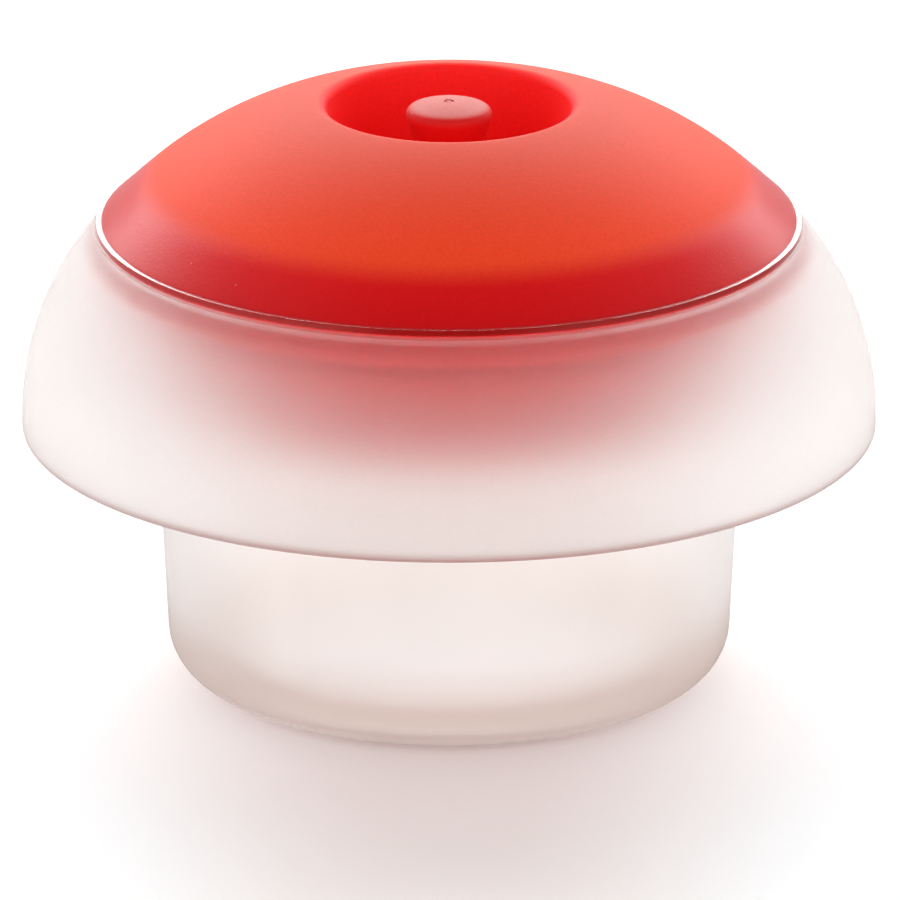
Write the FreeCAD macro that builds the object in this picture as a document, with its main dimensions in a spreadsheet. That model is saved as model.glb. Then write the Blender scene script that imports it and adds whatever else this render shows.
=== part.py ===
"""Mushroom-shaped egg cooker: a moulded cup, a domed lid with a finger well, and a bell-shaped float skirt.

Every piece is turned about the upright axis. The cup stands on its flat foot at height zero, the lid's collar
rests on the cup's rim with its plug inside the mouth, and the skirt drops over the dome onto the lid's flange.
"""

import FreeCAD, Part
import math
import os

import Sketcher

# Driving dimensions: millimetres, and degrees for dome_slope
SIZES = {
    # cup
    "cup_height": 46.0,
    "cup_base_radius": 32.7,
    "cup_mouth_radius": 35.0,
    "cup_wall": 2.0,
    "cup_floor": 2.4,
    "cup_foot_round": 6.0,
    "cup_floor_round": 5.0,
    "bead_width": 1.8,
    "bead_height": 3.0,
    "bead_round": 0.6,
    # lid: the plug in the cup's mouth and the collar on its rim
    "plug_depth": 10.0,
    "plug_wall": 2.2,
    "plug_clearance": 0.25,
    "plug_lead_round": 0.8,
    "collar_thickness": 2.0,
    # lid: the dome, from its edge inside the skirt's lip up to the crest round the well
    "lid_wall": 2.2,
    "lid_seat_rise": 5.6,
    "flange_drop": 3.0,
    "edge_wall": 1.5,
    "edge_step": 0.3,
    "edge_round": 1.2,
    "dome_slope": 43.0,
    "shoulder_inset": 3.0,
    "crown_curve": 44.7,
    "crest_radius": 14.5,
    "crest_round": 1.2,
    # lid: the finger well and the knob in it
    "well_depth": 12.0,
    "well_floor_radius": 11.8,
    "well_floor": 2.5,
    "well_round": 4.0,
    "knob_height": 12.0,
    "knob_head_radius": 5.3,
    "knob_head_height": 1.05,
    "knob_head_round": 1.1,
    "knob_neck_drop": 5.2,
    "knob_neck_radius": 4.1,
    "knob_foot_round": 2.0,
    # skirt
    "skirt_radius": 50.0,
    "skirt_curve": 33.5,
    "skirt_wall": 1.4,
    "skirt_rim_straight": 1.5,
    "skirt_rim_round": 0.6,
    "lip_radius": 41.3,
    "lip_wall": 0.8,
    "lip_rise": 1.2,
    "lip_depth": 3.7,
    "lip_round": 0.2,
    "skirt_clearance": 0.3,
}

doc = FreeCAD.newDocument("egg_cooker")
sheet = doc.addObject("Spreadsheet::Sheet", "sizes")
for row, (alias, number) in enumerate(SIZES.items(), start=1):
    sheet.set(f"A{row}", alias.replace("_", " "))
    sheet.set(f"B{row}", str(number))
    sheet.setAlias(f"B{row}", alias)
doc.recompute()


def value(expression):
    """The number that an expression on the sheet has now."""
    return float(sheet.evalExpression(expression))


def new_body(label):
    body = doc.addObject("PartDesign::Body", label)
    body.Label = label
    return body


def side_of(start, end, arc):
    """One side of an outline, and which of its ends comes first: a straight line, or an arc of a given radius
    whose centre is on the left (+1) or the right (-1) of the way from start to end."""
    if arc is None:
        return Part.LineSegment(start, end), 1, 2
    radius = value(arc[0])
    hand = arc[1]
    chord = end - start
    left = FreeCAD.Vector(-chord.y, chord.x, 0).normalize()
    centre = (start + end) * 0.5 + left * hand * math.sqrt(radius**2 - (chord.Length / 2) ** 2)
    circle = Part.Circle(centre, FreeCAD.Vector(0, 0, 1), radius)
    first, last = (start, end) if hand > 0 else (end, start)
    from_angle = math.atan2(first.y - centre.y, first.x - centre.x)
    to_angle = math.atan2(last.y - centre.y, last.x - centre.x)
    if to_angle < from_angle:
        to_angle += 2 * math.pi
    ends = (1, 2) if hand > 0 else (2, 1)
    return Part.ArcOfCircle(circle, from_angle, to_angle), *ends


def outline(body, name, corners, arcs=None):
    """A closed section in the body's XZ plane, every corner held by expressions on the sheet.

    corners are (corner name, radius, height), each of the last two an expression, or "0" on an axis.
    arcs gives the sides that aren't straight: the name of the corner they start at, to (radius, hand)."""
    arcs = arcs or {}
    sketch = body.newObject("Sketcher::SketchObject", name)
    plane = next(p for p in body.Origin.OriginFeatures if p.Role == "XZ_Plane")
    sketch.AttachmentSupport = [(plane, "")]
    sketch.MapMode = "FlatFace"
    points = [FreeCAD.Vector(value(r), value(z), 0) for _, r, z in corners]
    sides = []
    for i, (corner, _, _) in enumerate(corners):
        shape, start, end = side_of(points[i], points[(i + 1) % len(points)], arcs.get(corner))
        sides.append((sketch.addGeometry(shape, False), start, end))
    for i, (corner, radius, height) in enumerate(corners):
        side, start, _ = sides[i]
        before, _, end = sides[i - 1]
        sketch.addConstraint(Sketcher.Constraint("Coincident", before, end, side, start))
        hold(sketch, side, start, "DistanceX", f"{corner}_radius", radius, -2)
        hold(sketch, side, start, "DistanceY", f"{corner}_height", height, -1)
        if corner in arcs:
            bend = Sketcher.Constraint("Radius", side, value(arcs[corner][0]))
            bind(sketch, bend, f"{corner}_bend", arcs[corner][0])
    doc.recompute()
    return sketch


def bind(sketch, constraint, name, expression):
    sketch.renameConstraint(sketch.addConstraint(constraint), name)
    sketch.setExpression(f"Constraints.{name}", expression)


def hold(sketch, side, end, kind, name, expression, axis):
    """Puts one end of a side at a distance from the origin, or on an axis where that distance is nothing."""
    if expression == "0":
        sketch.addConstraint(Sketcher.Constraint("PointOnObject", side, end, axis))
    else:
        bind(sketch, Sketcher.Constraint(kind, -1, 1, side, end, value(expression)), name, expression)


def turned(body, name, corners, arcs=None):
    """Adds a section to the body, turned all the way round the axis."""
    section = outline(body, f"{name}_section", corners, arcs)
    feature = body.newObject("PartDesign::Revolution", name)
    feature.Profile = section
    feature.ReferenceAxis = (section, ["V_Axis"])
    feature.Angle = 360
    doc.recompute()


def rounded(body, name, rounding, *rings):
    """Rounds edges that run round the axis, each given by its radius and height."""
    base = body.Tip
    feature = body.newObject("PartDesign::Fillet", name)
    feature.Base = (base, [ring_edge(base, value(radius), value(height)) for radius, height in rings])
    feature.setExpression("Radius", rounding)
    doc.recompute()


def ring_edge(feature, radius, height, near=1e-4):
    for number, edge in enumerate(feature.Shape.Edges, start=1):
        if edge.Degenerated:
            continue
        curve = edge.Curve
        if not isinstance(curve, Part.Circle) or math.hypot(curve.Center.x, curve.Center.y) > near:
            continue
        if abs(curve.Radius - radius) < near and abs(curve.Center.z - height) < near:
            return f"Edge{number}"
    raise ValueError(f"{feature.Name} has no edge of radius {radius:.3f} at height {height:.3f}")


# Sizes that follow from the sheet: the cup
cup_mouth_bore = "(sizes.cup_mouth_radius - sizes.cup_wall)"
cup_rim_radius = "(sizes.cup_mouth_radius + sizes.bead_width)"
cup_flare = "((sizes.cup_mouth_radius - sizes.cup_base_radius) / sizes.cup_height)"

# the skirt, with heights above its rim
lip_bore = "(sizes.lip_radius - sizes.lip_wall)"
bell_centre = "(sizes.skirt_radius - sizes.skirt_curve)"
inner_curve = "(sizes.skirt_curve - sizes.skirt_wall)"
lip_base = f"(sizes.skirt_rim_straight + sqrt(sizes.skirt_curve^2 - (sizes.lip_radius - {bell_centre})^2))"
lip_top = f"({lip_base} + sizes.lip_rise)"
skirt_seat = f"({lip_top} - sizes.lip_depth)"
skirt_seat_radius = f"({bell_centre} + sqrt({inner_curve}^2 - ({skirt_seat} - sizes.skirt_rim_straight)^2))"

# the lid, with heights above the lower end of its plug
lid_seat = "(sizes.plug_depth + sizes.lid_seat_rise)"
edge_radius = f"({lip_bore} - sizes.skirt_clearance)"
edge_height = f"({lid_seat} + sizes.lip_depth + sizes.edge_step)"
shoulder_radius = f"({edge_radius} - sizes.shoulder_inset)"
shoulder_height = f"({edge_height} + sizes.shoulder_inset * tan(sizes.dome_slope))"
crown_centre = f"({shoulder_radius} - sizes.crown_curve * sin(sizes.dome_slope))"
crown_centre_height = f"({shoulder_height} - sizes.crown_curve * cos(sizes.dome_slope))"


def crown_height(radius, depth):
    """The height of the lid's crown at a radius, at a depth into its wall."""
    return f"({crown_centre_height} + sqrt((sizes.crown_curve - {depth})^2 - ({radius} - {crown_centre})^2))"


crest_height = crown_height("sizes.crest_radius", "0")
well_floor_height = f"({crest_height} - sizes.well_depth)"


def egg_cup():
    """Cup of soft silicone: flat foot, slightly flaring wall with a bead round its mouth, rounded floor."""
    body = new_body("egg_cup")
    floor_edge = f"(sizes.cup_base_radius - sizes.cup_wall + {cup_flare} * sizes.cup_floor)"
    bead_bottom = "(sizes.cup_height - sizes.bead_height)"
    bead_root = f"(sizes.cup_mouth_radius - {cup_flare} * sizes.bead_height)"
    turned(
        body,
        "cup_wall_and_floor",
        [
            ("foot_centre", "0", "0"),
            ("foot_edge", "sizes.cup_base_radius", "0"),
            ("bead_root", bead_root, bead_bottom),
            ("bead_underside", cup_rim_radius, bead_bottom),
            ("rim_outside", cup_rim_radius, "sizes.cup_height"),
            ("rim_inside", cup_mouth_bore, "sizes.cup_height"),
            ("floor_edge", floor_edge, "sizes.cup_floor"),
            ("floor_centre", "0", "sizes.cup_floor"),
        ],
    )
    rounded(body, "foot_round", "sizes.cup_foot_round", ("sizes.cup_base_radius", "0"))
    rounded(body, "floor_round", "sizes.cup_floor_round", (floor_edge, "sizes.cup_floor"))
    rounded(
        body,
        "bead_round",
        "sizes.bead_round",
        (cup_rim_radius, bead_bottom),
        (cup_rim_radius, "sizes.cup_height"),
        (cup_mouth_bore, "sizes.cup_height"),
    )
    return body


def lid():
    """Lid of red silicone in one moulding: dome, finger well with its knob, flange, plug and collar."""
    body = new_body("lid")
    body.setExpression("Placement.Base.z", "sizes.cup_height - sizes.plug_depth")
    dome(body)
    finger_well(body)
    plug_and_collar(body)
    knob(body)
    rounded(body, "edge_round", "sizes.edge_round", (edge_radius, edge_height))
    rounded(body, "crest_round", "sizes.crest_round", ("sizes.crest_radius", crest_height))
    return body


def dome(body):
    """The dome: an arc for the crown that runs on as a straight slope from the shoulder to the edge.

    The edge is stepped: it sits inside the skirt's lip, above a flange that carries the skirt."""
    flange_radius = f"({skirt_seat_radius} - sizes.skirt_clearance)"
    flange_bore = f"({edge_radius} - sizes.edge_wall)"
    flange_bottom = f"({lid_seat} - sizes.flange_drop)"
    inner_shoulder = f"({shoulder_radius} - sizes.lid_wall * sin(sizes.dome_slope))"
    inner_shoulder_height = f"({shoulder_height} - sizes.lid_wall * cos(sizes.dome_slope))"
    flange_root = f"({inner_shoulder_height} - ({flange_bore} - {inner_shoulder}) * tan(sizes.dome_slope))"
    turned(
        body,
        "dome",
        [
            ("crest_underside", "sizes.crest_radius", crown_height("sizes.crest_radius", "sizes.lid_wall")),
            ("inner_shoulder", inner_shoulder, inner_shoulder_height),
            ("flange_root", flange_bore, flange_root),
            ("flange_inside", flange_bore, flange_bottom),
            ("flange_outside", flange_radius, flange_bottom),
            ("seat_outside", flange_radius, lid_seat),
            ("seat_inside", edge_radius, lid_seat),
            ("edge", edge_radius, edge_height),
            ("shoulder", shoulder_radius, shoulder_height),
            ("crest", "sizes.crest_radius", crest_height),
        ],
        {
            "crest_underside": ("(sizes.crown_curve - sizes.lid_wall)", -1),
            "shoulder": ("sizes.crown_curve", 1),
        },
    )


def finger_well(body):
    """The well in the dome: a tapering wall from the crest down to a floor, rounded where they meet."""
    underside = f"({well_floor_height} - sizes.well_floor)"
    root_radius = "(sizes.crest_radius + sizes.lid_wall)"
    turned(
        body,
        "well",
        [
            ("well_centre", "0", well_floor_height),
            ("well_centre_underside", "0", underside),
            ("well_corner_underside", "(sizes.well_floor_radius + sizes.lid_wall)", underside),
            ("well_root", root_radius, crown_height(root_radius, "sizes.lid_wall / 2")),
            ("well_mouth", "sizes.crest_radius", crest_height),
            ("well_corner", "sizes.well_floor_radius", well_floor_height),
        ],
    )
    rounded(body, "well_round", "sizes.well_round", ("sizes.well_floor_radius", well_floor_height))


def plug_and_collar(body):
    """The ring wall under the dome: its lower end plugs the cup's mouth and its collar covers the cup's rim."""
    plug_radius = f"({cup_mouth_bore} - sizes.plug_clearance)"
    plug_end_radius = f"({plug_radius} - {cup_flare} * sizes.plug_depth)"
    plug_bore = f"({plug_end_radius} - sizes.plug_wall)"
    collar_top = "(sizes.plug_depth + sizes.collar_thickness)"
    turned(
        body,
        "plug",
        [
            ("plug_end_inside", plug_bore, "0"),
            ("plug_end_outside", plug_end_radius, "0"),
            ("collar_root", plug_radius, "sizes.plug_depth"),
            ("collar_underside", cup_rim_radius, "sizes.plug_depth"),
            ("collar_top", cup_rim_radius, collar_top),
            ("collar_top_root", plug_radius, collar_top),
            ("plug_root_outside", plug_radius, crown_height(plug_radius, "sizes.lid_wall / 2")),
            ("plug_root_inside", plug_bore, crown_height(plug_bore, "sizes.lid_wall / 2")),
        ],
    )
    rounded(body, "plug_lead_round", "min(sizes.plug_lead_round; 0.4 * sizes.plug_wall)", (plug_end_radius, "0"))


def knob(body):
    """The grip in the well: a neck that widens into a low domed head."""
    top = f"({well_floor_height} + sizes.knob_height)"
    foot = f"({well_floor_height} - sizes.well_floor / 2)"
    head_edge = f"({top} - sizes.knob_head_height)"
    head_curve = "((sizes.knob_head_radius^2 + sizes.knob_head_height^2) / (2 * sizes.knob_head_height))"
    turned(
        body,
        "knob",
        [
            ("knob_foot_centre", "0", foot),
            ("knob_foot", "sizes.knob_neck_radius", foot),
            ("knob_neck", "sizes.knob_neck_radius", f"({top} - sizes.knob_neck_drop)"),
            ("knob_head_edge", "sizes.knob_head_radius", head_edge),
            ("knob_top", "0", top),
        ],
        {"knob_head_edge": (head_curve, 1)},
    )
    rounded(body, "knob_head_round", "sizes.knob_head_round", ("sizes.knob_head_radius", head_edge))
    rounded(body, "knob_foot_round", "sizes.knob_foot_round", ("sizes.knob_neck_radius", well_floor_height))


def float_skirt():
    """Bell of frosted plastic, open above and below: a curved wall with a thin upright lip round its opening.

    Heights here are above its rim. The seat under the lip rests on the lid's flange."""
    body = new_body("float_skirt")
    body.setExpression("Placement.Base.z", f"sizes.cup_height + sizes.lid_seat_rise - {skirt_seat}")
    inner_radius = "(sizes.skirt_radius - sizes.skirt_wall)"
    turned(
        body,
        "bell",
        [
            ("rim_inside", inner_radius, "0"),
            ("rim_outside", "sizes.skirt_radius", "0"),
            ("curve_start", "sizes.skirt_radius", "sizes.skirt_rim_straight"),
            ("lip_base", "sizes.lip_radius", lip_base),
            ("lip_outside", "sizes.lip_radius", lip_top),
            ("lip_inside", lip_bore, lip_top),
            ("seat_inside", lip_bore, skirt_seat),
            ("seat_outside", skirt_seat_radius, skirt_seat),
            ("inner_curve_end", inner_radius, "sizes.skirt_rim_straight"),
        ],
        {"curve_start": ("sizes.skirt_curve", 1), "seat_outside": (inner_curve, -1)},
    )
    rounded(
        body,
        "rim_round",
        "min(sizes.skirt_rim_round; 0.45 * sizes.skirt_wall)",
        (inner_radius, "0"),
        ("sizes.skirt_radius", "0"),
    )
    rounded(
        body,
        "lip_round",
        "min(sizes.lip_round; 0.4 * sizes.lip_wall)",
        ("sizes.lip_radius", lip_top),
        (lip_bore, lip_top),
    )
    return body


pieces = [egg_cup(), lid(), float_skirt()]
doc.recompute()

for item in doc.Objects:
    if "Invalid" in item.State or "Error" in item.State:
        raise RuntimeError(f"{item.Label} failed to build: {item.State}")

os.makedirs("parts", exist_ok=True)
for piece in pieces:
    shape = piece.Shape
    if shape.isNull() or not shape.isValid() or len(shape.Solids) != 1:
        raise RuntimeError(f"{piece.Label} isn't one valid solid")
    box = shape.optimalBoundingBox()
    print(f"{piece.Label}: {shape.Volume / 1000:.2f} ml, height {box.ZMin:.2f} to {box.ZMax:.2f}, radius {box.XMax:.2f}")
for piece in pieces:
    piece.Shape.exportStep(os.path.join("parts", f"{piece.Label}.step"))
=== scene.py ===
"""Looks of a mushroom-shaped egg cooker: a translucent cup, a red domed lid and a frosted float skirt.

Each piece is an outline of radius and height, worked out from a few sizes and carried round the axis.
"""

import math

import bpy
import numpy as np
from bpy.props import FloatProperty, FloatVectorProperty, IntProperty, PointerProperty
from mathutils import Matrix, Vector


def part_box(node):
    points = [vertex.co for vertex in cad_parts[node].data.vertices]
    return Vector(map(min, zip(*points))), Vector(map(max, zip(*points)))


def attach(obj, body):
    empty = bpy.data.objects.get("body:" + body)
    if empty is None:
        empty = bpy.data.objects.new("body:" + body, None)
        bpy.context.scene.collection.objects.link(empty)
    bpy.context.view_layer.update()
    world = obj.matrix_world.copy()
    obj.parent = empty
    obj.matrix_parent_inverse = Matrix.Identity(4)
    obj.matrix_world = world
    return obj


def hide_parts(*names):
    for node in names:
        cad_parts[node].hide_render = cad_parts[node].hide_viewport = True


bl_info = {
    "name": "Egg cooker",
    "version": (1, 0, 0),
    "blender": (4, 5, 0),
    "location": "View3D > Sidebar > Egg cooker",
    "description": "Builds a translucent cup, a red domed lid and a frosted float skirt on a plain stage",
    "category": "Object",
}

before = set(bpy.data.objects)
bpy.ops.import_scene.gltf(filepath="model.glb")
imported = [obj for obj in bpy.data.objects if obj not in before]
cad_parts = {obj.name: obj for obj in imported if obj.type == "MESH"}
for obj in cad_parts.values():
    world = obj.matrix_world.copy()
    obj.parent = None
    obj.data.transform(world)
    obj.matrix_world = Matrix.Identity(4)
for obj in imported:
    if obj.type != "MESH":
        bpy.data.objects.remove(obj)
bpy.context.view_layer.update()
_, cup_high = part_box("egg_cup")
lid_low, lid_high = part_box("lid")
skirt_low, skirt_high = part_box("float_skirt")

MM = 0.001
TOUCH_GAP = 0.05 * MM  # left between faces that touch, so that light passes them in order
OUTLINE_STEP = 0.8 * MM  # longest straight run between two points of an outline
SHARP_ANGLE = math.radians(40)  # faces that meet at a larger angle keep a sharp edge
NOISE_SPREAD = (0.3, 0.7)  # nearly all values of a noise lie between these
MIX_A, MIX_B, MIX_RESULT = 6, 7, 2  # places of the colour sockets on a Mix node
WHITE = (1.0, 1.0, 1.0)
BLACK = (0.0, 0.0, 0.0)

# How far to one side a heading points where that side begins to count, and where it counts in full
GLOSS_SPAN = (0.2, 0.7)  # for what glossy faces mirror
LIGHT_SPAN = (0.2, 0.8)  # for the light that falls on the object


# Settings


def length(name, description, default):
    return FloatProperty(
        name=name, description=description, default=default, min=0.0, precision=5, unit="LENGTH"
    )


def share(name, description, default):
    return FloatProperty(
        name=name, description=description, default=default, min=0.0, max=1.0, subtype="FACTOR"
    )


def tint(name, description, default):
    return FloatVectorProperty(
        name=name, description=description, default=default, min=0.0, max=1.0, subtype="COLOR"
    )


def turn(name, description, degrees):
    return FloatProperty(name=name, description=description, default=math.radians(degrees), subtype="ANGLE")


def number(name, description, default):
    return FloatProperty(name=name, description=description, default=default)


def count(name, description, default, least):
    return IntProperty(name=name, description=description, default=default, min=least)


class CupSettings(bpy.types.PropertyGroup):
    """Sizes and finish of the cup"""

    base_radius: length("Base radius", "Outside radius of the wall at the foot, before rounding", 32.7 * MM)
    mouth_radius: length("Mouth radius", "Outside radius of the wall at the mouth, without bead", 35.0 * MM)
    wall: length("Wall", "Thickness of the wall", 2.0 * MM)
    floor: length("Floor", "Thickness of the floor", 2.4 * MM)
    foot_round: length("Foot round", "Rounding between the wall and the foot", 6.0 * MM)
    floor_round: length("Floor round", "Rounding between the wall and the floor inside", 5.0 * MM)
    bead_height: length("Bead height", "Height of the bead round the mouth", 3.0 * MM)
    bead_round: length("Bead round", "Rounding of the bead's edges", 0.6 * MM)
    colour: tint("Colour", "Colour of the clear silicone in the wall", (0.996, 0.968, 0.954))
    # Painted shade low in the foot's outer corner, next to the floor; it also stands for the thicker
    # silicone there.
    foot_painted_shade: tint("Foot colour", "Colour of the silicone where the foot thickens it", (0.68, 0.52, 0.46))
    clearness: share("Clearness", "Share of the light that passes straight in", 1.0)
    roughness: share("Roughness", "How far light spreads as it passes", 0.4)
    unevenness: share("Unevenness", "How much that spread goes up and down", 0.03)


class LidSettings(bpy.types.PropertyGroup):
    """Sizes and finish of the lid"""

    wall: length("Wall", "Thickness of the dome and the well", 2.2 * MM)
    slope: turn("Slope", "Steepness of the straight part of the dome", 43.0)
    shoulder_inset: length("Shoulder inset", "Width of the straight slope outside the crown", 3.35 * MM)
    crown_curve: length("Crown curve", "Radius of the crown's arc", 44.7 * MM)
    edge_press: length("Edge press", "How far the dome's edge is pressed into the lip's bore", 0.05 * MM)
    edge_height: length("Edge height", "Height of the stretch that is pressed", 0.85 * MM)
    edge_undercut: length("Edge undercut", "How far the ring below it stands back", 0.1 * MM)
    edge_round: length("Edge round", "Rounding of the dome's edge", 0.1 * MM)
    edge_wall: length("Edge wall", "Thickness of the ring below the dome's edge", 1.75 * MM)
    crest_radius: length("Crest radius", "Radius of the well's mouth, before rounding", 14.5 * MM)
    crest_round: length("Crest round", "Rounding between the crown and the well", 1.2 * MM)
    well_depth: length("Well depth", "Depth of the finger well", 12.0 * MM)
    well_floor_radius: length("Well floor radius", "Radius of the well's floor", 11.8 * MM)
    well_floor: length("Well floor", "Thickness of the well's floor", 2.5 * MM)
    well_round: length("Well round", "Rounding between the well's wall and floor", 4.0 * MM)
    knob_head_radius: length("Knob head radius", "Radius of the knob's head, before rounding", 5.3 * MM)
    knob_head_height: length("Knob head height", "Height of the knob's domed head", 1.05 * MM)
    knob_head_round: length("Knob head round", "Rounding of the head's edge", 1.1 * MM)
    knob_neck_radius: length("Knob neck radius", "Radius of the knob's neck", 4.1 * MM)
    knob_neck_drop: length("Knob neck drop", "How far below the knob's top its neck begins", 5.2 * MM)
    knob_foot_round: length("Knob foot round", "Rounding between the knob and the well's floor", 2.0 * MM)
    gate_radius: length("Gate radius", "Radius of the small pit on the knob's top", 0.62 * MM)
    gate_depth: length("Gate depth", "Depth of that pit", 0.2 * MM)
    gate_nub_radius: length("Gate nub radius", "Radius of the nub in the pit", 0.3 * MM)
    gate_nub_height: length("Gate nub height", "Height of that nub", 0.14 * MM)
    flange_depth: length("Flange depth", "How far below the dome's edge the flange ends", 4.7 * MM)
    plug_radius: length("Plug radius", "Radius of the ring under the dome", 32.75 * MM)
    plug_end_radius: length("Plug end radius", "Radius of the plug's lower end", 32.25 * MM)
    plug_wall: length("Plug wall", "Thickness of the plug at its lower end", 2.2 * MM)
    plug_round: length("Plug round", "Rounding of the plug's lower end", 0.8 * MM)
    collar_thickness: length("Collar thickness", "Thickness of the collar on the cup's rim", 2.0 * MM)
    deep_colour: tint("Deep colour", "Colour of the thick silicone in the well", (0.98, 0.005, 0.005))
    edge_colour: tint("Edge colour", "Colour of the edge that is pressed into the lip", (1.0, 0.006, 0.005))
    # Painted shade on the ring below the lip.
    ring_painted_shade: tint("Ring colour", "Colour of the ring below that edge", (0.72, 0.008, 0.008))
    # The crown's orange tones are a painted glow of light shining through the thin silicone; the shoulder
    # and rim tones are painted shade.
    crown_painted_glow: tint("Crown colour", "Colour of the crown near the well", (0.66, 0.04, 0.0075))
    lower_painted_glow: tint("Glow colour", "Colour of the crown's lower half", (0.83, 0.047, 0.005))
    shoulder_painted_shade: tint("Shoulder colour", "Colour where the dome gets thick", (0.66, 0.003, 0.005))
    rim_painted_shade: tint("Rim colour", "Colour at the dome's edge", (0.6, 0.002, 0.004))
    # Painted shade on the knob's side, and a painted sheen on its top; the pale colour also marks the real
    # specks.
    knob_painted_shade: tint("Knob colour", "Colour of the knob's side", (0.6, 0.006, 0.006))
    specks_and_painted_sheen: tint("Bloom colour", "Colour of the worn top of the knob", (0.6, 0.15, 0.135))
    roughness: share("Roughness", "Roughness of the matt surface", 0.58)
    edge_roughness: share("Edge roughness", "Roughness towards the dome's edge", 0.32)


class SkirtSettings(bpy.types.PropertyGroup):
    """Sizes and finish of the float skirt"""

    wall: length("Wall", "Thickness of the bell's wall", 1.4 * MM)
    curve: length("Curve", "Radius of the wall's arc", 33.5 * MM)
    rim_straight: length("Rim straight", "Height of the upright stretch above the rim", 1.5 * MM)
    rim_round: length("Rim round", "Rounding of the rim", 0.6 * MM)
    lip_radius: length("Lip radius", "Outside radius of the lip", 41.3 * MM)
    lip_wall: length("Lip wall", "Thickness of the lip", 0.8 * MM)
    lip_clear: length("Lip clear", "Height of the clear band below the lip's top", 0.87 * MM)
    lip_view: length("Lip view", "How much lower the band is clear on the inside", 0.3 * MM)
    lip_round: length("Lip round", "Rounding of the lip's edges", 0.2 * MM)
    colour: tint("Colour", "Colour of the frosted plastic", (0.97, 0.95, 0.937))
    mottle: share("Mottle", "How far that colour goes up and down with the grain", 0.02)
    # Painted shade along the rim's lower edge.
    skirt_rim_shade: tint("Rim tone", "Colour of the rim's edge, where light leaves the wall", (0.67, 0.575, 0.555))
    lip_tone: tint("Lip tone", "Colour of the clear lip", (1.0, 0.84, 0.81))
    rim_line: length("Rim line", "Height of the darker line along the rim", 1.0 * MM)
    clearness: share("Clearness", "Share of the light that passes straight in", 1.0)
    roughness: share("Roughness", "How far light spreads at the frosted surface", 0.62)
    lip_roughness: share("Lip roughness", "How far light spreads at the polished lip", 0.05)


class StageSettings(bpy.types.PropertyGroup):
    """Camera, floor and light"""

    view_elevation: turn("View elevation", "Height of the camera above the horizon", 18.94)
    view_distance: length("View distance", "Distance of the camera from the point it looks at", 2.0)
    view_width: length("View width", "Width of the picture at that point", 105.5 * MM)
    aim_height: length("Aim height", "Height of that point above the floor", 26.74 * MM)
    aim_offset: number("Aim offset", "Shift of the picture, in widths", 0.0011)
    bounces: count("Bounces", "How often light may turn in the object", 24, least=4)
    around: count("Around", "Faces round each piece", 224, least=16)
    floor_size: length("Floor size", "Length of the floor's sides", 6.0)
    floor_colour: tint("Floor colour", "Colour of the floor", (0.91, 0.935, 0.94))
    # A painted warm shadow on the floor in line with the object.
    shade_colour: tint("Shade colour", "Its colour in line with the object", (0.837, 0.761, 0.734))
    shade_start: length("Shade start", "Distance to either side where the shade begins to fade", 6.0 * MM)
    shade_end: length("Shade end", "Distance to either side where the shade ends", 46.0 * MM)
    floor_lift: share("Floor lift", "Light that the floor shows the camera of itself", 0.14)
    floor_glow: number("Floor glow", "White of the floor seen in the object", 1.27)
    # Painted shade: the floor's white, seen through the object, is dimmer below it.
    under_shaded_glow: number("Under glow", "White of the floor below the object, seen in it", 1.13)
    under_start: length("Under start", "Distance from the axis where that begins to change", 40.0 * MM)
    under_end: length("Under end", "Distance from the axis where it has become the floor's", 80.0 * MM)
    deep_white: share("Deep white", "White that is left of the room behind four walls", 0.7)
    room_light: share("Room light", "Strength of the soft light from all sides", 0.26)
    front_light: share("Front light", "Strength of the light from the front, added to it", 1.0)
    left_light: share("Left light", "Strength of the light from the left, added to it", 0.6)
    right_light: share("Right light", "Strength of the light from the right, added to it", 0.6)
    left_gloss: share("Left gloss", "Strength of the room's left where it is mirrored", 0.6)
    right_gloss: share("Right gloss", "Strength of the room's right where it is mirrored", 0.35)
    back_gloss: share("Back gloss", "Strength of the room's back where it is mirrored", 0.75)
    lamp_width: length("Lamp width", "Width of the soft lamp", 1.6)
    lamp_height: length("Lamp height", "Height of the soft lamp", 0.7)
    lamp_distance: length("Lamp distance", "Distance of the soft lamp", 0.9)
    lamp_elevation: turn("Lamp elevation", "Height of the soft lamp above the horizon", 36.0)
    lamp_heading: turn("Lamp heading", "How far the soft lamp stands to the left of the back", 2.0)
    lamp_share: share("Lamp share", "How much of the soft lamp shows through the object", 0.0)
    lamp_power: FloatProperty(
        name="Lamp power", description="Power of the soft lamp", default=14.0, unit="POWER"
    )


# Outlines: arrays of (radius, height)


def unit(vector):
    return vector / np.linalg.norm(vector)


def point(radius, height):
    return np.array([radius, height])


def arc(centre, start, end, steps):
    """The shorter arc round a centre from one point to another: the angle goes evenly, the radius stays."""
    spoke = start - centre
    first = math.atan2(spoke[1], spoke[0])
    last = math.atan2(*(end - centre)[::-1])
    sweep = (last - first + math.pi) % (2 * math.pi) - math.pi
    angles = first + sweep * np.linspace(0.0, 1.0, steps + 1)
    return centre + np.linalg.norm(spoke) * np.stack([np.cos(angles), np.sin(angles)], axis=1)


def rounded_corner(before, corner, after, rounding, steps=10):
    """A corner of two straight runs, rounded. With half the angle between the runs, the arc touches them
    at rounding / tan(half) from the corner, and its centre is rounding / sin(half) away between them."""
    back = unit(before - corner)
    ahead = unit(after - corner)
    half = math.acos(np.clip(back @ ahead, -1.0, 1.0)) / 2
    centre = corner + unit(back + ahead) * rounding / math.sin(half)
    reach = rounding / math.tan(half)
    return arc(centre, corner + back * reach, corner + ahead * reach, steps)


def line_meets_arc(start, along, centre, radius):
    """How far from its start a line meets a circle, at its two places.

    With m the part of (start - centre) along the line, they are at -m less and plus the root of
    m squared - |start - centre| squared + radius squared."""
    spoke = start - centre
    middle = spoke @ along
    spread = math.sqrt(middle**2 - spoke @ spoke + radius**2)
    return -middle - spread, -middle + spread


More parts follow.
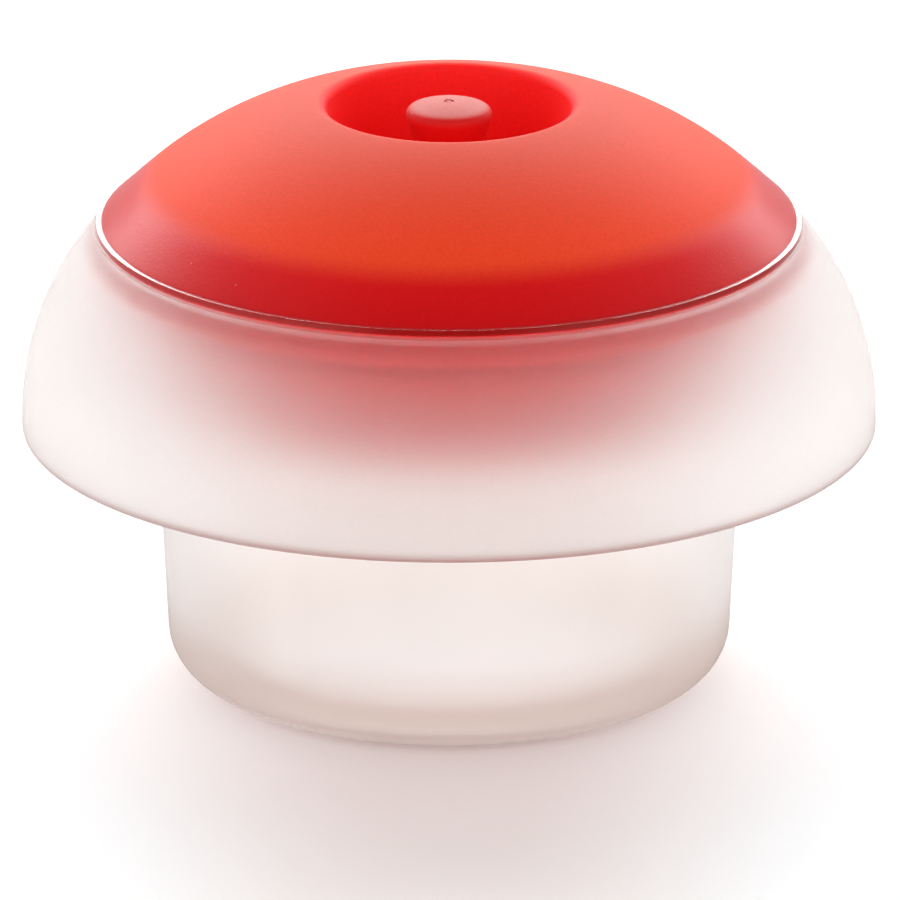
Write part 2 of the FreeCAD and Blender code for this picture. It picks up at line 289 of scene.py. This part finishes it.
def rounded_arc_end(centre, radius, corner, after, rounding, hand, steps=12):
    """The rounding where an arc runs into a straight line at a corner, from the arc to the line.

    Its centre is one rounding away from the line, on the left (+1) or the right (-1) of it, and radius less
    one rounding from the arc's own centre. Of the two such places along the line it takes the nearer."""
    along = unit(after - corner)
    offset = rounding * hand * point(-along[1], along[0])
    reach = min(line_meets_arc(corner + offset, along, centre, radius - rounding), key=abs)
    on_line = corner + along * reach
    round_centre = on_line + offset
    on_arc = centre + unit(round_centre - centre) * radius
    return arc(round_centre, on_arc, on_line, steps)


def height_on_arc(centre, radius, at_radius):
    """The upper height of an arc at a radius from the axis."""
    return centre[1] + math.sqrt(radius**2 - (at_radius - centre[0]) ** 2)


def trace(stretches):
    """Joins the stretches of an outline, and puts points on its long straight runs a step apart.

    A stretch is an array of points, or a corner with its rounding."""
    ends = [s if isinstance(s, np.ndarray) else s[0][None] for s in stretches]
    joined = []
    for i, stretch in enumerate(stretches):
        if isinstance(stretch, np.ndarray):
            joined.append(stretch)
        elif stretch[1] == 0:
            joined.append(ends[i])
        else:
            after = ends[(i + 1) % len(ends)][0]
            joined.append(rounded_corner(ends[i - 1][-1], stretch[0], after, stretch[1]))
    points = np.vstack(joined)
    gaps = np.linalg.norm(np.diff(points, axis=0), axis=1)
    same_place = OUTLINE_STEP * 1e-3
    points = points[np.concatenate([[True], gaps > same_place])]
    gaps = np.linalg.norm(np.diff(points, axis=0), axis=1)
    places = np.concatenate([[0.0], np.cumsum(gaps)])
    counts = np.maximum(1, np.ceil(gaps / OUTLINE_STEP)).astype(int)
    parts = np.concatenate([np.arange(n) / n for n in counts])
    dense = np.append(np.repeat(places[:-1], counts) + parts * np.repeat(gaps, counts), places[-1])
    return np.stack([np.interp(dense, places, values) for values in points.T], axis=1)


# Meshes


def carried_round(outline, around):
    """Vertices and faces of an outline carried round the Z axis: (r, h) goes to (r cos a, r sin a, h).

    An outline that begins and ends on the axis closes there in two fans. Any other closes on its start."""
    on_axis = outline[0, 0] == 0.0
    rows = outline[1:-1] if on_axis else outline
    angles = np.linspace(0.0, 2 * math.pi, around, endpoint=False)
    ring = np.stack([np.cos(angles), np.sin(angles), np.ones(around)], axis=1)
    vertices = (rows[:, [0, 0, 1]][:, None, :] * ring[None]).reshape(-1, 3)
    index = np.arange(len(vertices)).reshape(len(rows), around)
    if not on_axis:
        index = np.vstack([index, index[:1]])
    here, below = index[:-1], index[1:]
    quads = np.stack([here, below, np.roll(below, -1, axis=1), np.roll(here, -1, axis=1)], axis=2)
    faces = quads.reshape(-1, 4).tolist()
    if on_axis:
        first, last = len(vertices), len(vertices) + 1
        poles = np.array([[0.0, 0.0, outline[0, 1]], [0.0, 0.0, outline[-1, 1]]])
        vertices = np.vstack([vertices, poles])
        top, bottom = index[0], index[-1]
        faces += np.stack([np.full(around, first), top, np.roll(top, -1)], axis=1).tolist()
        faces += np.stack([bottom, np.full(around, last), np.roll(bottom, -1)], axis=1).tolist()
    return vertices, faces


def new_piece(name, outline, finish, body, node):
    """A smooth mesh of an outline carried round, with its finish. It stands for a CAD node on its body."""
    vertices, faces = carried_round(outline, bpy.context.scene.egg_cooker_stage.around)
    mesh = bpy.data.meshes.new(name)
    mesh.from_pydata(vertices.tolist(), [], faces)
    mesh.polygons.foreach_set("use_smooth", np.ones(len(mesh.polygons), dtype=bool))
    mesh.set_sharp_from_angle(angle=SHARP_ANGLE)
    mesh.materials.append(finish)
    piece = bpy.data.objects.new(name, mesh)
    bpy.context.scene.collection.objects.link(piece)
    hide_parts(node)
    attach(piece, body)
    return piece


# Finishes


def new_finish(name):
    """A material with its node tree, its Principled shader and the object's own coordinates."""
    material = bpy.data.materials.new(name)
    material.use_nodes = True
    tree = material.node_tree
    place = tree.nodes.new("ShaderNodeTexCoord").outputs["Object"]
    return material, tree, tree.nodes["Principled BSDF"], place


def feed(tree, socket, value):
    """Links an input to a socket, or sets it to a plain value."""
    if isinstance(value, bpy.types.NodeSocket):
        tree.links.new(value, socket)
    else:
        socket.default_value = value


def fill(tree, node, **inputs):
    """Feeds a node's inputs by name, with _ for a space."""
    for name, value in inputs.items():
        feed(tree, node.inputs[name.replace("_", " ")], value)
    return node


def add(tree, kind, **inputs):
    """A new node with some of its inputs fed."""
    return fill(tree, tree.nodes.new(kind), **inputs)


def noise(tree, place, scale, detail=2.0):
    """A noise between 0 and 1, with about scale waves to the metre."""
    return add(tree, "ShaderNodeTexNoise", Vector=place, Scale=scale, Detail=detail).outputs["Fac"]


def remap(tree, source, from_range, to_range=(0.0, 1.0), smooth=False):
    """Maps one range of a value to another, straight or in a soft S, and holds it at the ends."""
    node = add(
        tree,
        "ShaderNodeMapRange",
        Value=source,
        From_Min=from_range[0],
        From_Max=from_range[1],
        To_Min=to_range[0],
        To_Max=to_range[1],
    )
    node.interpolation_type = "SMOOTHSTEP" if smooth else "LINEAR"
    return node.outputs["Result"]


def parts_of(tree, vector):
    """The X, Y and Z of a vector."""
    return add(tree, "ShaderNodeSeparateXYZ", Vector=vector).outputs


def radius_and_height(tree, place):
    """The distance from the upright axis, which is the length of (x, y, 0), and the height."""
    flat = tree.nodes.new("ShaderNodeVectorMath")
    flat.operation = "MULTIPLY"
    feed(tree, flat.inputs[0], place)
    feed(tree, flat.inputs[1], (1.0, 1.0, 0.0))
    size = add(tree, "ShaderNodeVectorMath", Vector=flat.outputs["Vector"])
    size.operation = "LENGTH"
    return size.outputs["Value"], parts_of(tree, place)["Z"]


def combine(tree, operation, first, *others):
    """Arithmetic on values in turn, each a number or a socket."""
    for other in others:
        node = tree.nodes.new("ShaderNodeMath")
        node.operation = operation
        feed(tree, node.inputs[0], first)
        feed(tree, node.inputs[1], other)
        first = node.outputs["Value"]
    return first


def blend(tree, amount, low, high, kind="MIX"):
    """A colour between two colours, each a plain colour or a socket, or with MULTIPLY their product."""
    node = tree.nodes.new("ShaderNodeMix")
    node.data_type = "RGBA"
    node.blend_type = kind
    feed(tree, node.inputs["Factor"], amount)
    for index, colour in ((MIX_A, low), (MIX_B, high)):
        opaque = colour if isinstance(colour, bpy.types.NodeSocket) else (*colour, 1.0)
        feed(tree, node.inputs[index], opaque)
    return node.outputs[MIX_RESULT]


def grain(tree, height, depth, strength):
    """The normals of a fine grain in the surface, from a height between 0 and 1."""
    return add(tree, "ShaderNodeBump", Height=height, Strength=strength, Distance=depth).outputs["Normal"]


def specks(tree, place, spacing=5.0 * MM, size=0.09 * MM, share_of_cells=0.4):
    """1 on tiny dots, at most one in each cell of a random pattern, and 0 elsewhere."""
    cells = add(tree, "ShaderNodeTexVoronoi", Vector=place, Scale=1.0 / spacing)
    core = size / spacing
    fade_end = 1.6 * core
    dot = remap(tree, cells.outputs["Distance"], (core, fade_end), (1.0, 0.0))
    pick = parts_of(tree, cells.outputs["Color"])["X"]
    return combine(tree, "MULTIPLY", dot, combine(tree, "LESS_THAN", pick, share_of_cells))


def red_silicone(lid, edge_radius):
    """Matt red silicone: fine grain and sparse pale specks on zones of colour that hold painted glow,
    painted sheen and painted shade.
    """
    material, tree, shader, place = new_finish("red_silicone")
    radius, height = radius_and_height(tree, place)
    shoulder = edge_radius - lid.shoulder_inset
    thick_start = shoulder - 3.4 * MM
    thick_full = shoulder - 0.2 * MM
    # Ramp towards the dome's thick edge: it darkens the tone there as painted shade, and sets the roughness.
    thick = remap(tree, radius, (thick_start, thick_full), smooth=True)
    tone = dome_tone(tree, radius, thick, lid, edge_radius)
    tone = tone_below_lip(tree, radius, height, tone, lid, edge_radius)
    tone = knob_tone(tree, radius, height, tone, lid)
    # Real pale specks in the silicone, in the same colour as the knob's painted sheen.
    tone = blend(tree, specks(tree, place), tone, lid.specks_and_painted_sheen)
    fine = noise(tree, place, scale=2600.0, detail=3.0)
    dark_grain = (0.9, 0.9, 0.9)
    grainy = blend(tree, remap(tree, fine, NOISE_SPREAD), dark_grain, WHITE)
    fill(
        tree,
        shader,
        Base_Color=blend(tree, 1.0, tone, grainy, "MULTIPLY"),
        Roughness=remap(tree, thick, (0.0, 1.0), (lid.roughness, lid.edge_roughness)),
        Specular_IOR_Level=0.22,
        Subsurface_Weight=0.4,
        Subsurface_Radius=(1.0, 0.2, 0.1),
        Subsurface_Scale=1.3 * MM,
        Normal=grain(tree, fine, depth=0.05 * MM, strength=0.4),
    )
    return material


def dome_tone(tree, radius, thick, lid, edge_radius):
    """Deep red in the well; orange on the thin crown, a painted glow that stands in for the light shining
    through it from inside; and red again, painted shade, where the dome gets thick towards its edge and that
    light no longer reaches."""
    well_end = lid.crest_radius + 0.15 * MM
    crown_start = lid.crest_radius + 1.05 * MM
    shoulder = edge_radius - lid.shoulder_inset
    glow_start = shoulder - 18.0 * MM
    glow_full = shoulder - 5.0 * MM
    rim_start = shoulder - 1.2 * MM
    rim_full = edge_radius - 0.2 * MM
    # Painted glow: the crown turns more orange towards its lower half, over the cup's mouth.
    glow = remap(tree, radius, (glow_start, glow_full))
    crown = blend(tree, glow, lid.crown_painted_glow, lid.lower_painted_glow)
    crest = remap(tree, radius, (well_end, crown_start), smooth=True)
    tone = blend(tree, crest, lid.deep_colour, crown)
    # Painted shade where the dome thickens and towards its rim.
    tone = blend(tree, thick, tone, lid.shoulder_painted_shade)
    rim = remap(tree, radius, (rim_start, rim_full), smooth=True)
    return blend(tree, rim, tone, lid.rim_painted_shade)


def tone_below_lip(tree, radius, height, tone, lid, edge_radius):
    """Below the lip's top: bright red on the pressed edge, a darker red on the ring under it as painted
    shade below the lip, and deep red inside.
    """
    lip_top = skirt_high.z
    edge_end = lip_top - 1.2 * MM
    change = 0.1 * MM
    ring_inside = edge_radius - 2.5 * MM
    ring_outside = edge_radius - 2.0 * MM
    on_ring = remap(tree, radius, (ring_inside, ring_outside))
    under = blend(tree, on_ring, lid.deep_colour, lid.ring_painted_shade)
    on_edge = remap(tree, height, (edge_end - change, edge_end))
    below = remap(tree, height, (lip_top - change, lip_top), (1.0, 0.0))
    return blend(tree, below, tone, blend(tree, on_edge, under, lid.edge_colour))


def knob_tone(tree, radius, height, tone, lid):
    """The knob's red: painted shade on its side, down in the well, and a pale painted sheen on its top,
    where the light from above falls.
    """
    sheen_start = lid_high.z - 1.0 * MM
    sheen_full = lid_high.z - 0.5 * MM
    knob_end = lid.knob_head_radius + 1.0 * MM
    # Painted sheen on the top of the knob, where the light from above falls.
    lit = remap(tree, height, (sheen_start, sheen_full), smooth=True)
    on_knob = remap(tree, radius, (lid.knob_head_radius, knob_end), (1.0, 0.0))
    return blend(tree, on_knob, tone, blend(tree, lit, lid.knob_painted_shade, lid.specks_and_painted_sheen))


def clear_silicone(cup):
    """Smooth translucent silicone, a little cloudy, and darker in the rounded corner of the foot: painted
    shade next to the floor, where the silicone is also thicker.
    """
    material, tree, shader, place = new_finish("clear_silicone")
    radius, height = radius_and_height(tree, place)
    foot_height = 2.1 * cup.foot_round
    foot_edge = cup.base_radius - cup.foot_round
    foot_start = foot_edge - 4.0 * MM
    foot_full = foot_edge + 3.0 * MM
    # Painted shade: darker low down and towards the foot's outer edge.
    low = remap(tree, height, (0.0, foot_height), (1.0, 0.0), smooth=True)
    outer = remap(tree, radius, (foot_start, foot_full), smooth=True)
    tone = blend(tree, combine(tree, "MULTIPLY", low, outer), cup.colour, cup.foot_painted_shade)
    cloud = noise(tree, place, scale=80.0)
    dark_cloud = (0.985, 0.985, 0.985)
    cloudy = blend(tree, remap(tree, cloud, NOISE_SPREAD), dark_cloud, WHITE)
    rough_range = (cup.roughness - cup.unevenness, cup.roughness + cup.unevenness)
    fill(
        tree,
        shader,
        Base_Color=blend(tree, 1.0, tone, cloudy, "MULTIPLY"),
        Roughness=remap(tree, cloud, NOISE_SPREAD, rough_range),
        Transmission_Weight=cup.clearness,
        IOR=1.41,
        Normal=grain(tree, noise(tree, place, scale=900.0), depth=0.03 * MM, strength=0.15),
    )
    return material


def frosted_plastic(skirt):
    """Frosted plastic with a fine leathery grain, clear along the lip, and with a painted shade line at the
    rim's edge, which faces down to the floor.
    """
    material, tree, shader, place = new_finish("frosted_plastic")
    radius, height = radius_and_height(tree, place)
    change = 0.08 * MM
    clear_base = skirt_high.z - skirt.lip_clear
    bore_base = clear_base - skirt.lip_view
    outside = remap(tree, height, (clear_base, clear_base + change))
    inside = remap(tree, height, (bore_base, bore_base + change))
    on_bore = combine(tree, "LESS_THAN", radius, skirt.lip_radius - skirt.lip_wall / 2)
    polish = combine(tree, "MAXIMUM", outside, combine(tree, "MULTIPLY", on_bore, inside))
    fine = noise(tree, place, scale=2400.0)
    base = np.array(skirt.colour)
    dark = base * (1.0 - skirt.mottle)
    pale = np.minimum(base * (1.0 + skirt.mottle), 1.0)
    tone = blend(tree, remap(tree, fine, NOISE_SPREAD), dark, pale)
    # Painted shade: a darker line along the rim's edge, which faces the floor.
    rim_top = skirt_low.z + skirt.rim_line
    rim = remap(tree, height, (rim_top - skirt.rim_line / 2, rim_top), (1.0, 0.0))
    tone = blend(tree, rim, tone, skirt.skirt_rim_shade)
    grain_strength = remap(tree, polish, (0.0, 1.0), (0.3, 0.0))
    fill(
        tree,
        shader,
        Base_Color=blend(tree, polish, tone, skirt.lip_tone),
        Roughness=remap(tree, polish, (0.0, 1.0), (skirt.roughness, skirt.lip_roughness)),
        Transmission_Weight=skirt.clearness,
        IOR=1.49,
        Normal=grain(tree, fine, depth=0.05 * MM, strength=grain_strength),
    )
    return material


# Outlines of the pieces


def cup_outline(cup):
    """From the middle of the floor inside, up the wall, over the bead and down to the middle of the foot."""
    rim = cup_high.z
    bead_radius = cup_high.x
    flare = (cup.mouth_radius - cup.base_radius) / rim
    bead_bottom = rim - cup.bead_height
    return trace(
        [
            (point(0.0, cup.floor), 0),
            (point(cup.base_radius + flare * cup.floor - cup.wall, cup.floor), cup.floor_round),
            (point(cup.mouth_radius - cup.wall, rim), cup.bead_round),
            (point(bead_radius, rim), cup.bead_round),
            (point(bead_radius, bead_bottom), cup.bead_round),
            (point(cup.mouth_radius - flare * cup.bead_height, bead_bottom), 0),
            (point(cup.base_radius, 0.0), cup.foot_round),
            (point(0.0, 0.0), 0),
        ]
    )


def lid_edge_radius(lid, skirt):
    """The lip's bore, and a little more where the soft edge is pressed into it."""
    return skirt.lip_radius - skirt.lip_wall + lid.edge_press


def lid_outline(lid, skirt):
    """From the knob's top down its neck, over the well and the dome, under the flange and the plug, and back
    below the well's floor."""
    edge = point(lid_edge_radius(lid, skirt), skirt_high.z)
    shoulder = edge + lid.shoulder_inset * point(-1.0, math.tan(lid.slope))
    facing = point(math.sin(lid.slope), math.cos(lid.slope))
    inner_shoulder = shoulder - facing * lid.wall
    crown_centre = shoulder - facing * lid.crown_curve
    crest = point(lid.crest_radius, height_on_arc(crown_centre, lid.crown_curve, lid.crest_radius))
    floor = crest[1] - lid.well_depth
    well_corner = point(lid.well_floor_radius, floor)
    from_crown = rounded_arc_end(
        crown_centre, lid.crown_curve, crest, well_corner, lid.crest_round, hand=1
    )
    crest_round = from_crown[::-1]
    return trace(
        [
            *knob_stretches(lid, floor),
            (well_corner, lid.well_round),
            crest_round,
            arc(crown_centre, crest_round[-1], shoulder, steps=40),
            (edge, lid.edge_round),
            (edge - point(0.0, lid.edge_height), 0),
            (edge - point(lid.edge_undercut, lid.edge_height), 0),
            *flange_stretches(lid, skirt, edge[0] - lid.edge_undercut, inner_shoulder),
            *plug_stretches(lid, crown_centre, inner_shoulder),
            *well_underside(lid, crown_centre, crest, floor),
        ]
    )


def knob_stretches(lid, floor):
    """The knob: a low dome whose edge is rounded into a narrowing neck, down to the well's floor."""
    top = point(0.0, lid_high.z)
    curve = (lid.knob_head_radius**2 + lid.knob_head_height**2) / (2 * lid.knob_head_height)
    centre = top - point(0.0, curve)
    head_edge = point(lid.knob_head_radius, top[1] - lid.knob_head_height)
    neck = point(lid.knob_neck_radius, top[1] - lid.knob_neck_drop)
    head_round = rounded_arc_end(centre, curve, head_edge, neck, lid.knob_head_round, hand=-1)
    gate_edge = point(lid.gate_radius, height_on_arc(centre, curve, lid.gate_radius))
    return [
        *gate_stretches(lid, top[1] - lid.gate_depth),
        arc(centre, gate_edge, head_round[0], steps=24),
        head_round,
        (neck, 0),
        (point(lid.knob_neck_radius, floor), lid.knob_foot_round),
    ]


def gate_stretches(lid, floor):
    """The mark that the mould's gate left on the knob: a small pit with a nub in its middle."""
    nub_top = floor + lid.gate_nub_height
    rounding = 0.4 * lid.gate_nub_height
    return [
        (point(0.0, nub_top), 0),
        (point(lid.gate_nub_radius, nub_top), rounding),
        (point(lid.gate_nub_radius, floor), 0),
        (point(lid.gate_radius, floor), rounding),
    ]


def flange_stretches(lid, skirt, ring_radius, inner_shoulder):
    """The flange that carries the skirt: its top follows the skirt's inside, and its underside leads to the
    ring's inside and up that to the dome."""
    centre, inner_curve = skirt_arc(skirt)
    seat_curve = inner_curve - TOUCH_GAP
    bottom = skirt_high.z - lid.flange_depth
    inside = ring_radius - lid.edge_wall
    root = inner_shoulder[1] - (inside - inner_shoulder[0]) * math.tan(lid.slope)
    return [
        (point(ring_radius, height_on_arc(centre, seat_curve, ring_radius)), 0),
        (point(lid_high.x, height_on_arc(centre, seat_curve, lid_high.x)), 0),
        (point(lid_high.x, bottom), 0),
        (point(inside, bottom), 0),
        (point(inside, root), 0),
    ]


def plug_stretches(lid, crown_centre, inner_shoulder):
    """The ring under the dome, with the collar that covers the cup's rim and the plug inside its mouth."""
    rim = cup_high.z
    collar_radius = cup_high.x
    collar_top = rim + lid.collar_thickness
    inner_curve = lid.crown_curve - lid.wall
    bore = lid.plug_end_radius - lid.plug_wall
    root = point(lid.plug_radius, height_on_arc(crown_centre, inner_curve, lid.plug_radius))
    return [
        arc(crown_centre, inner_shoulder, root, steps=2),
        (point(lid.plug_radius, collar_top), 0),
        (point(collar_radius, collar_top), 0),
        (point(collar_radius, rim + TOUCH_GAP), 0),
        (point(lid.plug_radius, rim + TOUCH_GAP), 0),
        (point(lid.plug_end_radius, lid_low.z), lid.plug_round),
        (point(bore, lid_low.z), 0),
    ]


def well_underside(lid, crown_centre, crest, floor):
    """The underside of the crown, from the plug to the well, and the underside of the well."""
    inner_curve = lid.crown_curve - lid.wall
    bore = lid.plug_end_radius - lid.plug_wall
    from_plug = point(bore, height_on_arc(crown_centre, inner_curve, bore))
    under = floor - lid.well_floor
    corner = point(lid.well_floor_radius + lid.wall, under)
    root_radius = lid.crest_radius + lid.wall
    middle_curve = lid.crown_curve - lid.wall / 2
    root = point(root_radius, height_on_arc(crown_centre, middle_curve, root_radius))
    along = unit(root - corner)
    _, reach = line_meets_arc(corner, along, crown_centre, inner_curve)
    return [
        arc(crown_centre, from_plug, corner + along * reach, steps=20),
        (corner, 0),
        (point(0.0, under), 0),
    ]


def skirt_arc(skirt):
    """The centre of the bell's arc, and the radius of its inside."""
    centre = point(skirt_high.x - skirt.curve, skirt_low.z + skirt.rim_straight)
    return centre, skirt.curve - skirt.wall


def skirt_outline(skirt):
    """From the lip's inner edge over the lip, down the outside to the rim, and up the inside to the bore."""
    radius = skirt_high.x
    inner_radius = radius - skirt.wall
    rim = skirt_low.z
    lip_top = skirt_high.z
    lip_bore = skirt.lip_radius - skirt.lip_wall
    centre, inner_curve = skirt_arc(skirt)
    lip_base = point(skirt.lip_radius, height_on_arc(centre, skirt.curve, skirt.lip_radius))
    bore_base = point(lip_bore, height_on_arc(centre, inner_curve, lip_bore))
    return trace(
        [
            (point(lip_bore, lip_top), skirt.lip_round),
            (point(skirt.lip_radius, lip_top), skirt.lip_round),
            arc(centre, lip_base, point(radius, centre[1]), steps=48),
            (point(radius, rim), skirt.rim_round),
            (point(inner_radius, rim), skirt.rim_round),
            arc(centre, point(inner_radius, centre[1]), bore_base, steps=46),
        ]
    )


# Stage


def add_camera(scene, stage):
    """A long lens that looks down at the object, with the photograph's framing."""
    data = bpy.data.cameras.new("camera")
    data.lens = data.sensor_width * stage.view_distance / stage.view_width
    data.clip_end = 100.0
    data.shift_x = stage.aim_offset
    camera = bpy.data.objects.new("camera", data)
    away = Vector((0.0, -math.cos(stage.view_elevation), math.sin(stage.view_elevation)))
    camera.location = Vector((0.0, 0.0, stage.aim_height)) + away * stage.view_distance
    camera.rotation_euler = (-away).to_track_quat("-Z", "Y").to_euler()
    scene.collection.objects.link(camera)
    scene.camera = camera


def add_floor(scene, stage):
    """A plain floor, level with the foot."""
    half = stage.floor_size / 2
    mesh = bpy.data.meshes.new("floor")
    corners = [(x * half, y * half, -TOUCH_GAP) for x, y in ((-1, -1), (1, -1), (1, 1), (-1, 1))]
    mesh.from_pydata(corners, [], [(0, 1, 2, 3)])
    mesh.materials.append(floor_white(stage))
    floor = bpy.data.objects.new("floor", mesh)
    scene.collection.objects.link(floor)


def floor_white(stage):
    """Matt white with a painted warm shadow in line with the object, where light has passed it. Glossy faces
    mirror the room in it, and clear ones show its white with no shadow, dimmed below the object as painted
    shade."""
    material, tree, shader, place = new_finish("floor_white")
    path = tree.nodes.new("ShaderNodeLightPath").outputs
    passed = passed_through(tree, path)
    bent = combine(tree, "MAXIMUM", path["Is Glossy Ray"], passed)
    # Painted shadow: the warm shade colour fills a band in line with the object.
    beside = combine(tree, "ABSOLUTE", parts_of(tree, place)["X"], 0.0)
    open_floor = remap(tree, beside, (stage.shade_start, stage.shade_end), smooth=True)
    tone = blend(tree, open_floor, stage.shade_colour, stage.floor_colour)
    heading = add(tree, "ShaderNodeVectorMath", Vector=place)
    heading.operation = "NORMALIZE"
    straight = combine(tree, "MULTIPLY", path["Is Camera Ray"], stage.floor_lift)
    room = mirrored_room(tree, heading.outputs["Vector"], stage)
    mirrored = combine(tree, "MULTIPLY", path["Is Glossy Ray"], room)
    # Painted shade: below the object the white seen through it is dimmer, where the floor lies in its
    # shadow.
    radius, _ = radius_and_height(tree, place)
    glows = (stage.under_shaded_glow, stage.floor_glow)
    white = remap(tree, radius, (stage.under_start, stage.under_end), glows, smooth=True)
    glow = combine(tree, "MULTIPLY", passed, white, white_left(tree, path, stage))
    fill(
        tree,
        shader,
        Base_Color=blend(tree, bent, tone, BLACK),
        Roughness=0.9,
        Specular_IOR_Level=0.0,
        Emission_Color=(*WHITE, 1.0),
        Emission_Strength=combine(tree, "MAXIMUM", straight, mirrored, glow),
    )
    return material


def passed_through(tree, path):
    """1 for light that reaches the camera through the object: it has passed a face of it, or three faces
    where it comes by way of a matt face inside."""
    least = remap(tree, path["Diffuse Depth"], (0.0, 1.0), (0.5, 2.5))
    return combine(tree, "GREATER_THAN", path["Transmission Depth"], least)


def white_left(tree, path, stage):
    """How much is left of the room's white: all of it behind two walls, which are four faces, and less
    behind four walls, which are eight."""
    return remap(tree, path["Transmission Depth"], (4.0, 8.0), (1.0, stage.deep_white))


def from_side(tree, part, sign, span, strength):
    """Rises from 0 to a strength, in a soft S, as a part of a heading goes through a span to one side."""
    return remap(tree, combine(tree, "MULTIPLY", part, sign), span, (0.0, strength), smooth=True)


def mirrored_room(tree, heading, stage):
    """How bright a glossy face mirrors the room: pale behind, dimmer at the sides, dark in front."""
    across, depth, _ = parts_of(tree, heading)
    left = from_side(tree, across, -1.0, GLOSS_SPAN, stage.left_gloss)
    right = from_side(tree, across, 1.0, GLOSS_SPAN, stage.right_gloss)
    back = from_side(tree, depth, 1.0, GLOSS_SPAN, stage.back_gloss)
    return combine(tree, "MAXIMUM", left, right, back)


def add_room(scene, stage):
    """A white room with soft light all round, and more from the front and the sides.

    The camera sees the room white. Glossy faces mirror its sides and back, and a dark front."""
    world = bpy.data.worlds.new("white_room")
    scene.world = world
    world.use_nodes = True
    tree = world.node_tree
    heading = tree.nodes.new("ShaderNodeTexCoord").outputs["Generated"]
    across, depth, _ = parts_of(tree, heading)
    front = from_side(tree, depth, -1.0, LIGHT_SPAN, stage.front_light)
    left = from_side(tree, across, -1.0, LIGHT_SPAN, stage.left_light)
    right = from_side(tree, across, 1.0, LIGHT_SPAN, stage.right_light)
    soft = combine(tree, "ADD", front, left, right, stage.room_light)
    path = tree.nodes.new("ShaderNodeLightPath").outputs
    room = (soft, mirrored_room(tree, heading, stage))
    light = remap(tree, path["Is Glossy Ray"], (0.0, 1.0), room)
    seen = combine(tree, "MAXIMUM", path["Is Camera Ray"], passed_through(tree, path))
    strength = remap(tree, seen, (0.0, 1.0), (light, white_left(tree, path, stage)))
    fill(tree, tree.nodes["Background"], Color=(*WHITE, 1.0), Strength=strength)


def add_lamp(scene, stage):
    """One large soft lamp behind and above, which doesn't show through the object."""
    data = bpy.data.lights.new("back_lamp", "AREA")
    data.shape = "RECTANGLE"
    data.size = stage.lamp_width
    data.size_y = stage.lamp_height
    data.energy = stage.lamp_power
    data.use_nodes = True
    tree = data.node_tree
    passed = passed_through(tree, tree.nodes.new("ShaderNodeLightPath").outputs)
    fill(tree, tree.nodes["Emission"], Strength=remap(tree, passed, (0.0, 1.0), (1.0, stage.lamp_share)))
    lamp = bpy.data.objects.new("back_lamp", data)
    level = math.cos(stage.lamp_elevation)
    leftward = level * math.sin(stage.lamp_heading)
    backward = level * math.cos(stage.lamp_heading)
    towards = Vector((-leftward, backward, math.sin(stage.lamp_elevation)))
    lamp.location = Vector((0.0, 0.0, stage.aim_height)) + towards * stage.lamp_distance
    lamp.rotation_euler = (-towards).to_track_quat("-Z", "Y").to_euler()
    scene.collection.objects.link(lamp)


# Operators


class EGGCOOKER_OT_cup(bpy.types.Operator):
    """Build the translucent cup"""

    bl_idname = "egg_cooker.cup"
    bl_label = "Cup"

    def execute(self, context):
        cup = context.scene.egg_cup
        finish = clear_silicone(cup)
        piece = new_piece("cup_shell", cup_outline(cup), finish, "cup_body", "egg_cup")
        piece.visible_shadow = False  # light passes the cup, so it leaves no dark shadow
        return {"FINISHED"}


class EGGCOOKER_OT_lid(bpy.types.Operator):
    """Build the red lid with its finger well and knob"""

    bl_idname = "egg_cooker.lid"
    bl_label = "Lid"

    def execute(self, context):
        lid = context.scene.egg_lid
        skirt = context.scene.egg_skirt
        finish = red_silicone(lid, lid_edge_radius(lid, skirt))
        new_piece("lid_shell", lid_outline(lid, skirt), finish, "lid_body", "lid")
        return {"FINISHED"}


class EGGCOOKER_OT_skirt(bpy.types.Operator):
    """Build the frosted float skirt"""

    bl_idname = "egg_cooker.skirt"
    bl_label = "Float skirt"

    def execute(self, context):
        skirt = context.scene.egg_skirt
        finish = frosted_plastic(skirt)
        outline = skirt_outline(skirt)
        new_piece("skirt_shell", outline, finish, "skirt_body", "float_skirt")
        return {"FINISHED"}


class EGGCOOKER_OT_stage(bpy.types.Operator):
    """Set up the camera, the floor and the light"""

    bl_idname = "egg_cooker.stage"
    bl_label = "Stage"

    def execute(self, context):
        stage = context.scene.egg_cooker_stage
        context.scene.view_settings.view_transform = "Standard"
        for kind in ("max", "transmission", "glossy"):
            setattr(context.scene.cycles, kind + "_bounces", stage.bounces)
        for add_to_stage in (add_camera, add_floor, add_room, add_lamp):
            add_to_stage(context.scene, stage)
        return {"FINISHED"}


class EGGCOOKER_PT_panel(bpy.types.Panel):
    """Buttons for the pieces and the stage"""

    bl_label = "Egg cooker"
    bl_idname = "EGGCOOKER_PT_panel"
    bl_space_type = "VIEW_3D"
    bl_region_type = "UI"
    bl_category = "Egg cooker"

    def draw(self, context):
        for operator in OPERATORS:
            self.layout.operator(operator.bl_idname)


OPERATORS = (EGGCOOKER_OT_cup, EGGCOOKER_OT_lid, EGGCOOKER_OT_skirt, EGGCOOKER_OT_stage)
SETTINGS = {
    "egg_cup": CupSettings,
    "egg_lid": LidSettings,
    "egg_skirt": SkirtSettings,
    "egg_cooker_stage": StageSettings,
}


def register():
    for group in (*SETTINGS.values(), *OPERATORS, EGGCOOKER_PT_panel):
        bpy.utils.register_class(group)
    for name, group in SETTINGS.items():
        setattr(bpy.types.Scene, name, PointerProperty(type=group))


def unregister():
    for name in SETTINGS:
        delattr(bpy.types.Scene, name)
    for group in reversed((*SETTINGS.values(), *OPERATORS, EGGCOOKER_PT_panel)):
        bpy.utils.unregister_class(group)


def main():
    register()
    bpy.ops.egg_cooker.cup()
    bpy.ops.egg_cooker.lid()
    bpy.ops.egg_cooker.skirt()
    bpy.ops.egg_cooker.stage()


if __name__ == "__main__":
    main()
